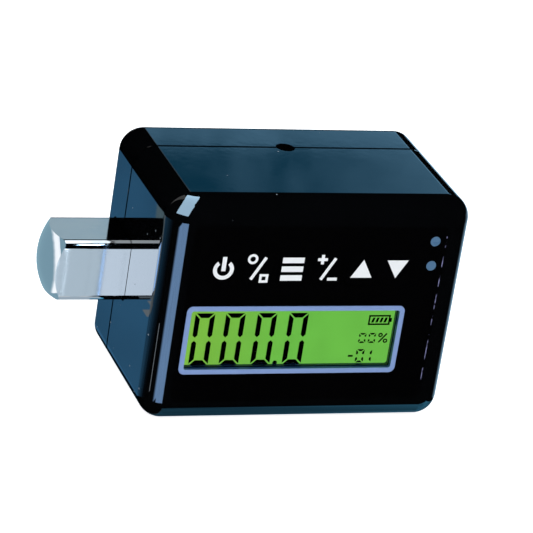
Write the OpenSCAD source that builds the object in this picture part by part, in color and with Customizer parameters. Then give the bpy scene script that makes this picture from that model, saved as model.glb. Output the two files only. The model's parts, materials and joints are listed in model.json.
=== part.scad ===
// Digital torque adapter: a steel torque transducer with a male square drive at
// one end and a square socket at the other, in a two part moulded housing with
// a display, six keys and two signal lights.
//
// Millimetres. The origin is on the drive axis, where the male square leaves
// the housing. +X runs along the drive axis to the socket, -Y faces the person
// who reads the display, and +Z is up. The two shells part at Y = 0.

/* [Housing] */
// Width of the housing along the drive axis
case_width = 61.5; // [58:0.5:80]
// Height of the housing
case_height = 46.8; // [44:0.1:60]
// Depth of the front shell, from the parting plane to the display face
front_depth = 26.2; // [25:0.2:34]
// Depth of the rear shell, from the parting plane to the back
rear_depth = 10.8; // [10.6:0.2:16]
// Radius of the four long edges and of the edges round the display face
edge_radius = 4.6; // [3.6:0.1:6]
// Radius of the edges round the back
back_edge_radius = 2.0; // [1:0.1:2.2]
// Wall thickness of both shells
wall = 2.0; // [1.6:0.1:2.4]
// How far the drive axis lies below the middle of the housing
axis_drop = 0.55; // [0:0.05:1.5]

/* [Drive] */
// Side of the male square drive
drive_square = 12.7; // [9.5:0.1:14]
// How far the male square stands out of the housing
drive_length = 16.2; // [14:0.1:20]
// Radius of the long edges of the male square
drive_corner_radius = 1.4; // [0.5:0.1:1.8]
// Radius of the turned dome at the tip of the male square
drive_dome_radius = 13; // [12:0.5:20]
// How much wider the socket is than the male square that it takes
socket_play = 0.2; // [0.1:0.05:0.3]
// Depth of the square socket
socket_depth = 16.5; // [14:0.5:20]
// Metal left between a side of the socket and the flat of the hub
hub_side_wall = 2.05; // [1.8:0.05:3]
// Metal left between a corner of the socket and the round of the hub
hub_corner_wall = 1.88; // [1.6:0.02:3]
// Length of the hub that holds the socket
hub_length = 26.0; // [24:0.5:30]
// How far the hub stands out of the housing
hub_proud = 0.5; // [0.2:0.1:2]
// Diameter of the slim length that twists under load
gauge_diameter = 13.0; // [10:0.5:14]
// Distance across the two flats that the strain gauges are bonded to
gauge_flats = 11.0; // [8:0.5:12]
// Diameter of the thrust collar behind the left wall
collar_diameter = 17.0; // [15:0.1:17]
// Thickness of the thrust collar
collar_thickness = 3.0; // [2:0.5:4]

/* [Detent] */
// Diameter of the spring loaded ball in the male square
ball_diameter = 4.76; // [4:0.02:5]
// How far the ball stands out of the square, which is also its travel
ball_proud = 0.9; // [0.5:0.1:1.2]
// Distance from the housing to the ball
ball_from_case = 8.2; // [6:0.1:9]
// Number of turns of the detent spring
spring_turns = 4; // [3:1:6]

/* [Front panel] */
// Distance from each side of the housing to the front panel
panel_inset = 5.1; // [4.8:0.1:6]
// Corner radius of the front panel
panel_corner_radius = 1.6; // [0.5:0.1:3]
// Thickness of the front panel
panel_thickness = 0.8; // [0.6:0.1:1.2]

/* [Display] */
// Width of the frame round the display
display_width = 44.3; // [40:0.1:45]
// Height of the frame round the display
display_height = 14.3; // [12:0.1:16]
// Width of the band of the display frame
frame_band = 0.95; // [0.6:0.05:1.5]
// Sideways place of the display, from the middle of the housing
display_x = -2.8; // [-3:0.1:-1]
// Height of the display, from the middle of the housing
display_z = -5.4; // [-7:0.05:-4.5]
// Thickness of the clear window
window_thickness = 0.8; // [0.6:0.1:1]
// Thickness of the moulded lip behind the window
lip_thickness = 0.8; // [0.6:0.1:1.2]
// Thickness of the liquid crystal cell
lcd_thickness = 1.8; // [1.4:0.1:2.4]
// Thickness of the light box behind the cell
backlight_thickness = 3.4; // [3.2:0.1:5]

/* [Keys] */
// Width of a key
key_width = 6.0; // [5:0.1:6.2]
// Width of the bar between neighbouring keys
key_spacing = 1.03; // [0.8:0.01:1.2]
// Height of a key
key_height = 7.0; // [5:0.1:7.4]
// How far a key travels when it is pressed
key_travel = 0.3; // [0.2:0.05:0.5]
// Gap round a key in the panel
key_gap = 0.12; // [0.08:0.01:0.2]
// Sideways place of the row of keys, from the middle of the housing
keys_x = -1.43; // [-2:0.01:0]
// Height of the row of keys, from the middle of the housing
keys_z = 9.65; // [9:0.05:10.5]

/* [Signal lights] */
// Diameter of a signal light
light_diameter = 2.0; // [1.5:0.1:3]
// Sideways place of the signal lights, from the middle of the housing
lights_x = 23.2; // [22.8:0.1:23.6]
// Height of the upper light, from the middle of the housing
upper_light_z = 15.4; // [14:0.05:16]
// Height of the lower light, from the middle of the housing
lower_light_z = 10.25; // [9:0.05:11]

/* [Power] */
// Bore of the charging socket
jack_bore = 3.6; // [3:0.1:4]
// Length of the battery cell
battery_length = 34; // [25:1:38]
// Width of the battery cell
battery_depth = 20; // [16:0.5:20]
// Gap between the battery cell and the hub above it
battery_shaft_gap = 2.2; // [1:0.1:3]

/* [Fasteners] */
// Shank diameter of the four case screws
case_screw_diameter = 2.5; // [2:0.1:2.6]
// Head diameter of the case screws
case_screw_head = 4.6; // [4:0.1:4.8]
// Length of the case screws under the head
case_screw_length = 12; // [10:0.5:14]
// Shank diameter of the four circuit board screws
board_screw_diameter = 1.9; // [1.6:0.1:2.1]

/* [Hidden] */
$fn = 64;

// Overrun of every cut past the surface that it opens
overrun = 1;
// Gap between fixed pieces that drop into one another
fit_gap = 0.1;

// Planes of the housing
mid_x = case_width / 2;
mid_z = axis_drop;
case_top = mid_z + case_height / 2;
case_bottom = mid_z - case_height / 2;
front_y = -front_depth;
back_y = rear_depth;
inner_radius = edge_radius - wall;

// Layers behind the display face, front to back
front_wall = panel_thickness + window_thickness + lip_thickness;
panel_back_y = front_y + panel_thickness;
window_back_y = panel_back_y + window_thickness;
wall_back_y = front_y + front_wall;
lcd_back_y = wall_back_y + lcd_thickness;
board_front_y = lcd_back_y + backlight_thickness;
board_thickness = 1.6;
board_back_y = board_front_y + board_thickness;

// Front panel outline
panel_width = case_width - 2 * panel_inset;
panel_height = case_height - 2 * panel_inset;

// Display: opening in the frame, window, cell and light box
view_width = display_width - 2 * frame_band;
view_height = display_height - 2 * frame_band;
display_corner_radius = 1.2;
view_corner_radius = 0.5;
frame_proud = 0.15;
window_lap = 0.6;
lcd_side_margin = 0.7;
contact_ledge = 2.2;
contact_width = 1.5;
contact_end_inset = 3.0;

// Keys: the flange that keeps a key in, and its stem
key_count = 6;
key_pitch = key_width + key_spacing;
key_corner_radius = 0.8;
key_flange_thickness = 0.9;
key_flange_side = 0.28;
key_flange_end = 0.7;
key_stem_radius = 1.6;
key_rest_gap = 0.04;
switch_side = 4.6;
switch_height = 1.9;
plunger_radius = 1.2;
plunger_length = 1.4;
key_stop_gap = 0.05;
switch_gap = key_travel + key_stop_gap;
plunger_top_y = board_front_y - switch_height - plunger_length;
key_flange_back_y = wall_back_y + key_rest_gap + key_flange_thickness;

// Signal lights
light_flange = 0.5;
led_width = 1.6;
led_height = 0.8;
led_thickness = 0.8;
led_gap = 0.2;

// Tongue and groove along the parting plane, and the fine groove round its outside
tongue_height = 1.0;
seam_width = 0.2;
seam_depth = 0.15;

// Case screws, their posts and counterbores
post_inset = 4.6;
post_radius = 2.8;
screw_clearance = 0.15;
pilot_clearance = 0.05;
counterbore_depth = 2.4;
case_screw_head_height = 1.8;
head_recess_depth = 0.9;
head_recess_width = 0.7;
head_recess_length_share = 0.6;

// Circuit board, its posts and screws
board_side_gap = 1.0;
board_width = case_width - 2 * wall - 2 * board_side_gap;
board_height = case_height - 2 * wall - 2 * board_side_gap;
board_post_radius = 2.2;
board_post_x = 17.0;
board_post_inset = 5.0;
board_screw_head = 3.6;
board_screw_head_height = 1.3;
board_screw_length = 4.6;
board_pilot_depth = 4.9;

// Transducer shaft, from the male square to the socket
drive_gap = 0.2;
socket_square = drive_square + socket_play;
socket_corner_radius = 0.5;
hub_radius = socket_square / sqrt(2) + hub_corner_wall;
hub_flats = socket_square + 2 * hub_side_wall;
hub_end_x = case_width + hub_proud;
hub_start_x = hub_end_x - hub_length;
hub_chamfer = 0.8;
hub_shoulder = 3.0;
mouth_chamfer = 0.7;
relief_radius = 4.2;
relief_depth = 2.5;
catch_radius = 2.4;
catch_from_mouth = 8.2;
collar_x = wall + fit_gap;
collar_end_x = collar_x + collar_thickness;
yoke_x = collar_end_x + fit_gap;
yoke_thickness = 2.0;
yoke_end_x = yoke_x + yoke_thickness;
journal_step = 0.5;
journal_diameter = gauge_diameter + 2 * journal_step;
journal_overhang = 1.0;
journal_end_x = yoke_end_x + journal_overhang;
journal_gap = 0.05;
collar_boss_wall = 2.4;
hub_boss_wall = 2.4;
hub_boss_length = 6.0;
boss_front_y = -hub_radius - hub_boss_wall;

// Strain gauges and the tape that joins them to the board
gauge_length = 5.0;
gauge_height = 4.0;
gauge_thickness = 0.15;
gauge_spacing = 6.2;
flats_from_journal = 1.5;
flats_from_hub = 2.0;
flats_start_x = journal_end_x + flats_from_journal;
flats_end_x = hub_start_x - flats_from_hub;
flex_width = 4.5;
flex_thickness = 0.2;
flex_foot = 3.6;
flex_from_gauges = 2.0;
flex_x = flats_start_x + 2 * gauge_spacing + flex_from_gauges;
connector_width = 7.0;
connector_height = 3.0;
connector_depth = 1.8;
connector_slit = 0.3;

// Detent ball, its drilled hole and its spring
ball_radius = ball_diameter / 2;
ball_gap = 0.05;
ball_z = -drive_square / 2 - ball_proud + ball_radius;
ball_hole_radius = ball_radius + ball_gap;
spring_room = 4.0;
ball_hole_top_z = ball_z + ball_radius + spring_room;
ball_lip_height = 0.3;
ball_lip_radius = sqrt(pow(ball_radius, 2) - pow(ball_radius - ball_proud - ball_lip_height, 2)) + ball_gap;
spring_wire_radius = 0.25;
spring_inset = 0.75;
spring_radius = ball_radius - spring_inset;
spring_gap = 0.05;
spring_low_z = ball_z + sqrt(pow(ball_radius, 2) - pow(spring_radius, 2)) + spring_wire_radius + spring_gap;
spring_high_z = ball_hole_top_z - spring_wire_radius - spring_gap;
spring_sides = 6;
spring_steps = 16;

// Charging socket under the top wall, on the parting plane
jack_width = 7.6;
jack_depth = 6.4;
jack_height = 9.0;
jack_bore_depth = 8.0;
jack_pin_radius = 0.65;
jack_pin_length = 7.0;
jack_mouth = jack_bore + 2 * fit_gap;
jack_pocket_wall = 1.2;
jack_top_z = case_top - wall;
jack_bottom_z = jack_top_z - jack_height;
jack_lead_spacing = 3.0;
jack_lead_rise = 2.2;
jack_lead_z = jack_bottom_z + jack_lead_rise;
lead_radius = 0.5;
lead_notch = 1.4;

// Battery cell on the bottom wall, its pad, plug and leads
pad_thickness = 0.55;
battery_bottom_z = case_bottom + wall + pad_thickness;
battery_top_z = -hub_radius - battery_shaft_gap;
battery_thickness = battery_top_z - battery_bottom_z;
battery_edge_share = 0.3;
battery_x = 12.0;
battery_board_gap = 3.2;
battery_front_y = board_back_y + battery_board_gap;
cell_head_length = 2.0;
cell_head_inset = 1.0;
pad_inset = 3.0;
plug_width = 5.0;
plug_depth = 3.4;
plug_height = 4.0;
plug_from_cell_end = 7.0;
plug_above_cell = 0.65;
plug_x = battery_x + plug_from_cell_end;
plug_z = battery_top_z + plug_above_cell;
battery_lead_spacing = 2.0;
lead_bend_radius = 1.2;
lead_start_z = battery_bottom_z + battery_thickness / 2;
lead_rise_y = battery_front_y - lead_bend_radius - fit_gap;

// Sounder and chips on the back of the board
buzzer_radius = 4.75;
buzzer_height = 4.2;
buzzer_from_middle = 8.9;
buzzer_drop = 9.0;
buzzer_x = mid_x + buzzer_from_middle;
buzzer_z = case_top - buzzer_drop;
buzzer_port_radius = 0.8;
buzzer_port_depth = 1.0;
processor_side = 7.0;
chip_thickness = 1.2;
// Each chip: place across the board as shares of its width and height, then its
// own width and height as shares of the processor's side
chip_shares = [
    [-0.30, 0.08, 1.00, 1.00],
    [0.17, 0.03, 0.72, 0.90],
    [0.35, -0.09, 0.43, 0.43],
    [-0.30, 0.33, 0.46, 0.70]
];

// A rectangle with rounded corners, centred
module rounded_rectangle(width, height, radius) {
    square([width - 2 * radius, height], center = true);
    square([width, height - 2 * radius], center = true);
    for (side_x = [-1, 1], side_z = [-1, 1])
        translate([side_x * (width / 2 - radius), side_z * (height / 2 - radius)])
            circle(r = radius);
}

// Extrudes an outline of X and Z from one depth to another
module along_y(from_y, to_y) {
    translate([0, to_y, 0])
        rotate([90, 0, 0])
            linear_extrude(height = to_y - from_y)
                children();
}

// Extrudes an outline of Y and Z from one place along the drive axis to another
module along_x(from_x, to_x) {
    translate([from_x, 0, 0])
        rotate([90, 0, 90])
            linear_extrude(height = to_x - from_x)
                children();
}

// A round bar along Y
module bar_y(from_y, to_y, radius) {
    along_y(from_y, to_y)
        circle(r = radius);
}

// A round bar along X
module bar_x(from_x, to_x, radius) {
    along_x(from_x, to_x)
        circle(r = radius);
}

// A box given by its middle in X and Z and by its two depths
module plate(middle_x, middle_z, width, height, from_y, to_y) {
    translate([middle_x, 0, middle_z])
        along_y(from_y, to_y)
            square([width, height], center = true);
}

// Moves children from the middle of the housing face
module on_case() {
    translate([mid_x, 0, mid_z])
        children();
}

// Moves children to each case screw
module at_case_screws() {
    for (x = [post_inset, case_width - post_inset])
        for (z = [case_bottom + post_inset, case_top - post_inset])
            translate([x, 0, z])
                children();
}

// Moves children to each circuit board screw
module at_board_screws() {
    for (side_x = [-1, 1], z = [case_bottom + board_post_inset, case_top - board_post_inset])
        translate([mid_x + side_x * board_post_x, 0, z])
            children();
}

// Moves children to the key with this number, from 0 at the left
module at_key(number) {
    translate([mid_x + keys_x + (number - (key_count - 1) / 2) * key_pitch, 0, mid_z + keys_z])
        children();
}

// Moves children to each signal light
module at_lights() {
    for (z = [upper_light_z, lower_light_z])
        translate([mid_x + lights_x, 0, mid_z + z])
            children();
}

// A block whose edges round one face are rounded, from that face to the parting plane
module rounded_block(face_y, face_radius, side) {
    edge_y = face_y + side * face_radius;
    half_x = case_width / 2 - edge_radius;
    half_z = case_height / 2 - edge_radius;
    inset = edge_radius - face_radius;
    on_case() {
        along_y(min(edge_y, 0), max(edge_y, 0))
            rounded_rectangle(case_width, case_height, edge_radius);
        along_y(min(face_y, edge_y), max(face_y, edge_y))
            rounded_rectangle(case_width - 2 * face_radius, case_height - 2 * face_radius,
                max(inset, 0));
        for (side_z = [-1, 1])
            translate([0, edge_y, side_z * (case_height / 2 - face_radius)])
                bar_x(-half_x, half_x, face_radius);
        for (side_x = [-1, 1])
            translate([side_x * (case_width / 2 - face_radius), edge_y, 0])
                cylinder(r = face_radius, h = 2 * half_z, center = true);
        for (side_x = [-1, 1], side_z = [-1, 1])
            translate([side_x * half_x, edge_y, side_z * half_z])
                rounded_corner(inset, face_radius);
    }
}

// The turned corner of a rounded block: a ball, or a ring where the face radius is the smaller
module rounded_corner(inset, face_radius) {
    if (inset > 0)
        rotate([90, 0, 0])
            rotate_extrude()
                translate([inset, 0])
                    circle(r = face_radius);
    else
        sphere(r = face_radius);
}

// Outline of the hub across the drive axis, with a gap all round
module hub_outline(gap) {
    intersection() {
        circle(r = hub_radius + gap);
        square([hub_flats + 2 * gap, 2 * hub_radius + 2 * gap + overrun], center = true);
    }
}

// The space that both shells leave for the shaft
module shaft_space() {
    along_x(-overrun, collar_x)
        rounded_rectangle(drive_square + 2 * drive_gap, drive_square + 2 * drive_gap, drive_corner_radius);
    bar_x(wall, yoke_x, collar_diameter / 2 + fit_gap);
    bar_x(wall, yoke_end_x + overrun, journal_diameter / 2 + journal_gap);
    along_x(hub_start_x - fit_gap, case_width + overrun)
        hub_outline(fit_gap);
}

// The bosses that hold the shaft in both shells
module shaft_bosses() {
    bar_x(0, yoke_end_x, collar_diameter / 2 + collar_boss_wall);
    bar_x(case_width - hub_boss_length, case_width, hub_radius + hub_boss_wall);
}

// The pocket under the top wall that holds the charging socket
module jack_pocket() {
    translate([mid_x, 0, (jack_top_z + jack_bottom_z) / 2])
        cube([jack_width + 2 * jack_pocket_wall, jack_depth + 2 * jack_pocket_wall,
            jack_height + 2 * jack_pocket_wall], center = true);
}

// The space for the charging socket, its mouth and its leads
module jack_space() {
    translate([mid_x, 0, jack_bottom_z + (jack_height + fit_gap) / 2 - fit_gap])
        cube([jack_width + 2 * fit_gap, jack_depth + 2 * fit_gap, jack_height + fit_gap], center = true);
    translate([mid_x, 0, jack_top_z - overrun])
        cylinder(d = jack_mouth, h = wall + 2 * overrun);
    plate(mid_x, jack_lead_z, jack_lead_spacing + 2 * lead_notch, 2 * lead_notch, -jack_depth, 0);
}

// The fine groove round the outside of the parting plane, half of it in each shell
module seam() {
    on_case()
        along_y(-seam_width / 2, seam_width / 2)
            difference() {
                square([case_width + 2 * overrun, case_height + 2 * overrun], center = true);
                rounded_rectangle(case_width - 2 * seam_depth, case_height - 2 * seam_depth,
                    edge_radius - seam_depth);
            }
}

// A ring along the inner half of the wall, for the tongue or its groove
module parting_ring(outer_gap, inner_gap, to_y) {
    outer_cut = wall / 2 + outer_gap;
    inner_cut = wall + inner_gap;
    on_case()
        along_y(0, to_y)
            difference() {
                rounded_rectangle(case_width - 2 * outer_cut, case_height - 2 * outer_cut,
                    edge_radius - outer_cut);
                rounded_rectangle(case_width - 2 * inner_cut, case_height - 2 * inner_cut,
                    edge_radius - inner_cut);
            }
}

// Deep moulded shell with the display, keys and lights
module front_shell() {
    color([0.03, 0.03, 0.035])
        difference() {
            union() {
                difference() {
                    rounded_block(front_y, edge_radius, 1);
                    on_case()
                        along_y(wall_back_y, overrun)
                            rounded_rectangle(case_width - 2 * wall, case_height - 2 * wall, inner_radius);
                }
                parting_ring(fit_gap, 0, tongue_height);
                at_case_screws()
                    bar_y(wall_back_y, 0, post_radius);
                at_board_screws()
                    bar_y(wall_back_y, board_front_y, board_post_radius);
                intersection() {
                    union() {
                        shaft_bosses();
                        jack_pocket();
                    }
                    on_case()
                        along_y(boss_front_y, 0)
                            square([case_width - wall, case_height - wall], center = true);
                }
            }
            seam();
            panel_recess();
            shaft_space();
            jack_space();
            at_case_screws()
                bar_y(-case_screw_length, overrun, case_screw_diameter / 2 + pilot_clearance);
            at_board_screws()
                bar_y(board_front_y - board_pilot_depth, board_front_y + overrun,
                    board_screw_diameter / 2 + pilot_clearance);
        }
}

// Recess for the front panel, with the openings behind it
module panel_recess() {
    on_case()
        along_y(front_y - overrun, panel_back_y)
            rounded_rectangle(panel_width + fit_gap, panel_height + fit_gap, panel_corner_radius);
    display_outline(panel_back_y - overrun, window_back_y, view_width + 2 * window_lap + fit_gap,
        view_height + 2 * window_lap + fit_gap, view_corner_radius);
    display_outline(front_y, wall_back_y + overrun, view_width, view_height, view_corner_radius);
    for (number = [0:key_count - 1])
        key_opening(number);
    at_lights()
        bar_y(front_y, wall_back_y + overrun, light_diameter / 2 + journal_gap);
}

// A rounded outline about the middle of the display
module display_outline(from_y, to_y, width, height, radius) {
    translate([mid_x + display_x, 0, mid_z + display_z])
        along_y(from_y, to_y)
            rounded_rectangle(width, height, radius);
}

// The opening that a key slides in
module key_opening(number) {
    at_key(number)
        along_y(front_y - overrun, wall_back_y + overrun)
            rounded_rectangle(key_width + 2 * key_gap, key_height + 2 * key_gap,
                key_corner_radius + key_gap);
}

// Shallow moulded shell with the four screw holes
module rear_shell() {
    color([0.04, 0.04, 0.045])
        difference() {
            union() {
                difference() {
                    rounded_block(back_y, back_edge_radius, -1);
                    on_case()
                        along_y(-overrun, back_y - wall)
                            rounded_rectangle(case_width - 2 * wall, case_height - 2 * wall, inner_radius);
                }
                at_case_screws()
                    bar_y(0, back_y - wall, post_radius);
                intersection() {
                    union() {
                        shaft_bosses();
                        jack_pocket();
                    }
                    on_case()
                        along_y(0, back_y - wall / 2)
                            square([case_width - wall, case_height - wall], center = true);
                }
            }
            seam();
            parting_ring(0, fit_gap, tongue_height + fit_gap);
            shaft_space();
            jack_space();
            at_case_screws() {
                bar_y(-overrun, back_y + overrun, case_screw_diameter / 2 + screw_clearance);
                bar_y(back_y - counterbore_depth, back_y + overrun, case_screw_head / 2 + screw_clearance);
            }
        }
}

// Thin gloss panel that is bonded into the face of the front shell
module front_panel() {
    color([0.01, 0.01, 0.012])
        difference() {
            on_case()
                along_y(front_y, panel_back_y)
                    rounded_rectangle(panel_width, panel_height, panel_corner_radius - fit_gap / 2);
            display_outline(front_y - overrun, panel_back_y + overrun, display_width + fit_gap,
                display_height + fit_gap, display_corner_radius);
            for (number = [0:key_count - 1])
                key_opening(number);
            at_lights()
                bar_y(front_y - overrun, panel_back_y + overrun, light_diameter / 2 + journal_gap);
        }
}

// Narrow bright frame round the display
module display_frame() {
    color([0.55, 0.64, 0.82])
        difference() {
            display_outline(front_y - frame_proud, panel_back_y, display_width, display_height,
                display_corner_radius);
            display_outline(front_y - overrun, panel_back_y + overrun, view_width, view_height,
                view_corner_radius);
        }
}

// Clear window in its seat behind the frame
module display_window() {
    color([0.8, 0.9, 0.95, 0.3])
        display_outline(panel_back_y, window_back_y, view_width + 2 * window_lap,
            view_height + 2 * window_lap, view_corner_radius);
}

// Liquid crystal cell, with a contact ledge along its upper edge
module lcd_glass() {
    color([0.45, 0.72, 0.25])
        plate(mid_x + display_x, mid_z + display_z + contact_ledge / 2, display_width + 2 * lcd_side_margin,
            display_height + contact_ledge, wall_back_y, lcd_back_y);
}

// Light box between the cell and the circuit board
module backlight() {
    color([0.9, 0.92, 0.88])
        plate(mid_x + display_x, mid_z + display_z, display_width + 2 * lcd_side_margin, display_height,
            lcd_back_y, board_front_y);
}

// Rubber strip that joins the contact ledge to the board
module contact_strip() {
    color([0.6, 0.35, 0.3])
        plate(mid_x + display_x, mid_z + display_z + display_height / 2 + contact_ledge - contact_width / 2,
            display_width - 2 * contact_end_inset, contact_width, lcd_back_y, board_front_y);
}

// Circuit board, notched round the four case posts
module main_board() {
    color([0.08, 0.32, 0.16])
        difference() {
            plate(mid_x, mid_z, board_width, board_height, board_front_y, board_back_y);
            at_case_screws()
                bar_y(board_front_y - overrun, board_back_y + overrun, post_radius + board_side_gap / 2);
            at_board_screws()
                bar_y(board_front_y - overrun, board_back_y + overrun,
                    board_screw_diameter / 2 + screw_clearance);
        }
}

// Processor, amplifier, charger and crystal on the back of the board
module board_chips() {
    color([0.12, 0.12, 0.13])
        for (chip = chip_shares)
            plate(mid_x + chip[0] * board_width, mid_z + chip[1] * board_height, chip[2] * processor_side,
                chip[3] * processor_side, board_back_y, board_back_y + chip_thickness);
}

// Six push switches on the front of the board
module key_switches() {
    color([0.7, 0.7, 0.72])
        for (number = [0:key_count - 1])
            at_key(number) {
                along_y(board_front_y - switch_height, board_front_y)
                    square(switch_side, center = true);
                bar_y(plunger_top_y, board_front_y - switch_height, plunger_radius);
            }
}

// One key: the cap flush with the panel, a flange that keeps it in, and a stem
module key(number) {
    color([0.015, 0.015, 0.018])
        at_key(number) {
            along_y(front_y, wall_back_y + key_rest_gap)
                rounded_rectangle(key_width, key_height, key_corner_radius);
            along_y(wall_back_y + key_rest_gap, key_flange_back_y)
                rounded_rectangle(key_width + 2 * key_flange_side, key_height + 2 * key_flange_end,
                    key_corner_radius);
            bar_y(key_flange_back_y, plunger_top_y - switch_gap, key_stem_radius);
        }
}

module clear_key() {
    key(0);
}

module unit_key() {
    key(1);
}

module mode_key() {
    key(2);
}

module function_key() {
    key(3);
}

module up_key() {
    key(4);
}

module down_key() {
    key(5);
}

// Two light pipes that carry the signal lights to the face
module light_pipes() {
    color([0.45, 0.6, 0.75])
        at_lights() {
            bar_y(front_y, board_front_y - led_thickness - led_gap, light_diameter / 2);
            bar_y(wall_back_y, wall_back_y + light_flange, light_diameter / 2 + light_flange);
        }
}

// Two chip lights behind the light pipes
module led_chips() {
    color([0.9, 0.85, 0.6])
        at_lights()
            along_y(board_front_y - led_thickness, board_front_y)
                square([led_width, led_height], center = true);
}

// Sounder on the back of the board
module buzzer() {
    color([0.1, 0.1, 0.1])
        translate([buzzer_x, 0, buzzer_z])
            difference() {
                bar_y(board_back_y, board_back_y + buzzer_height, buzzer_radius);
                bar_y(board_back_y + buzzer_height - buzzer_port_depth,
                    board_back_y + buzzer_height + overrun, buzzer_port_radius);
            }
}

// Rechargeable pouch cell with its protection board under the end cap
module battery_cell() {
    edge = battery_thickness * battery_edge_share;
    middle_y = battery_front_y + battery_depth / 2;
    middle_z = battery_bottom_z + battery_thickness / 2;
    color([0.72, 0.74, 0.78])
        translate([0, middle_y, middle_z]) {
            along_x(battery_x, battery_x + battery_length)
                rounded_rectangle(battery_depth, battery_thickness, edge);
            along_x(battery_x - cell_head_length, battery_x)
                rounded_rectangle(battery_depth - 2 * cell_head_inset,
                    battery_thickness - 2 * cell_head_inset, edge / 2);
        }
}

// Foam pad that bonds the cell to the bottom wall
module battery_pad() {
    color([0.25, 0.25, 0.27])
        translate([battery_x + pad_inset, battery_front_y + pad_inset, case_bottom + wall])
            cube([battery_length - 2 * pad_inset, -battery_front_y - 2 * pad_inset, pad_thickness]);
}

// Plug and header of the battery leads, on the back of the board
module battery_plug() {
    color([0.92, 0.9, 0.84])
        plate(plug_x, plug_z + plug_height / 2, plug_width, plug_height,
            board_back_y, board_back_y + plug_depth);
}

// Two short leads that bend up from the cell into the plug
module battery_leads() {
    color([0.75, 0.1, 0.08])
        for (side_x = [-1, 1])
            translate([plug_x + side_x * battery_lead_spacing / 2, 0, 0]) {
                translate([0, 0, lead_start_z])
                    bar_y(battery_front_y - fit_gap, battery_front_y, lead_radius);
                translate([0, battery_front_y - fit_gap, lead_start_z + lead_bend_radius])
                    rotate([0, 90, 0])
                        rotate([0, 0, 270])
                            rotate_extrude(angle = 90)
                                translate([lead_bend_radius, 0])
                                    circle(r = lead_radius);
                translate([0, lead_rise_y, lead_start_z + lead_bend_radius])
                    cylinder(r = lead_radius, h = plug_z - lead_start_z - lead_bend_radius);
            }
}

// Charging socket with its bore
module charge_jack() {
    color([0.08, 0.08, 0.09])
        difference() {
            translate([mid_x, 0, jack_bottom_z + jack_height / 2])
                cube([jack_width, jack_depth, jack_height], center = true);
            translate([mid_x, 0, jack_top_z - jack_bore_depth])
                cylinder(d = jack_bore, h = jack_bore_depth + overrun);
        }
}

// Contact pin in the middle of the charging socket
module jack_pin() {
    color([0.8, 0.78, 0.7])
        translate([mid_x, 0, jack_top_z - jack_bore_depth])
            cylinder(r = jack_pin_radius, h = jack_pin_length);
}

// Two leads from the charging socket to the board
module charge_leads() {
    color([0.7, 0.1, 0.08])
        for (side_x = [-1, 1])
            translate([mid_x + side_x * jack_lead_spacing / 2, 0, jack_lead_z])
                bar_y(board_back_y, -jack_depth / 2, lead_radius);
}

// Connector on the board that takes the gauge tape
module flex_connector() {
    color([0.85, 0.83, 0.76])
        difference() {
            plate(flex_x + flex_width / 2, flex_foot / 2, connector_width, connector_height,
                board_back_y, board_back_y + connector_depth);
            plate(flex_x + flex_width / 2, flex_foot / 2, flex_width + 2 * connector_slit, connector_slit,
                board_back_y + connector_depth / 2, board_back_y + connector_depth + overrun);
        }
}

// Flat tape from the gauges to the board: a foot on the shaft and a straight run
module gauge_flex() {
    foot_y = -gauge_flats / 2;
    color([0.75, 0.5, 0.15])
        translate([flex_x + flex_width / 2, 0, 0]) {
            plate(0, 0, flex_width, flex_foot + flex_thickness, foot_y - flex_thickness, foot_y);
            plate(0, flex_foot / 2, flex_width, flex_thickness, board_back_y + connector_depth / 2, foot_y);
        }
}

// Foil gauges on the two flats of the slim length
module strain_gauges() {
    color([0.85, 0.6, 0.3])
        for (number = [0, 1], side = [-1, 1])
            translate([flats_start_x + gauge_spacing * (number + 0.5), 0, 0])
                along_y(min(side * gauge_flats / 2, side * (gauge_flats / 2 + gauge_thickness)),
                    max(side * gauge_flats / 2, side * (gauge_flats / 2 + gauge_thickness)))
                    square([gauge_length, gauge_height], center = true);
}

// One steel piece: male square, collar, journal, slim measuring length and socket hub
module torque_shaft() {
    color([0.75, 0.8, 0.84])
        difference() {
            union() {
                male_square();
                bar_x(collar_x, collar_end_x, collar_diameter / 2);
                bar_x(collar_end_x, journal_end_x, journal_diameter / 2);
                measuring_length();
                socket_hub();
            }
            along_x(hub_end_x - socket_depth, hub_end_x + overrun)
                rounded_rectangle(socket_square, socket_square, socket_corner_radius);
            bar_x(hub_end_x - socket_depth - relief_depth, hub_end_x - socket_depth + overrun,
                relief_radius);
            translate([hub_end_x - catch_from_mouth, 0, -hub_radius - overrun])
                cylinder(r = catch_radius, h = 2 * hub_radius + 2 * overrun);
            socket_mouth();
            detent_hole();
        }
}

// Male square whose end is turned to a dome
module male_square() {
    intersection() {
        along_x(-drive_length, collar_x)
            rounded_rectangle(drive_square, drive_square, drive_corner_radius);
        translate([-drive_length + drive_dome_radius, 0, 0])
            sphere(r = drive_dome_radius);
    }
}

// Turns a profile of radius and X about the drive axis
module along_drive_axis(profile) {
    rotate([0, 90, 0])
        rotate_extrude()
            polygon(profile);
}

// Slim round length with the two flats that carry the gauges
module measuring_length() {
    difference() {
        bar_x(journal_end_x, hub_start_x + overrun, gauge_diameter / 2);
        for (side = [-1, 1])
            translate([(flats_start_x + flats_end_x) / 2, side * gauge_flats, 0])
                cube([flats_end_x - flats_start_x, gauge_flats, gauge_diameter], center = true);
    }
}

// Round hub with two flats, chamfered at both ends
module socket_hub() {
    intersection() {
        along_x(hub_start_x, hub_end_x)
            hub_outline(0);
        along_drive_axis([
            [0, hub_start_x],
            [hub_radius - hub_shoulder, hub_start_x],
            [hub_radius + overrun, hub_start_x + hub_shoulder + overrun],
            [hub_radius + overrun, hub_end_x - hub_chamfer - overrun],
            [hub_radius - hub_chamfer, hub_end_x],
            [0, hub_end_x]
        ]);
    }
}

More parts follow.
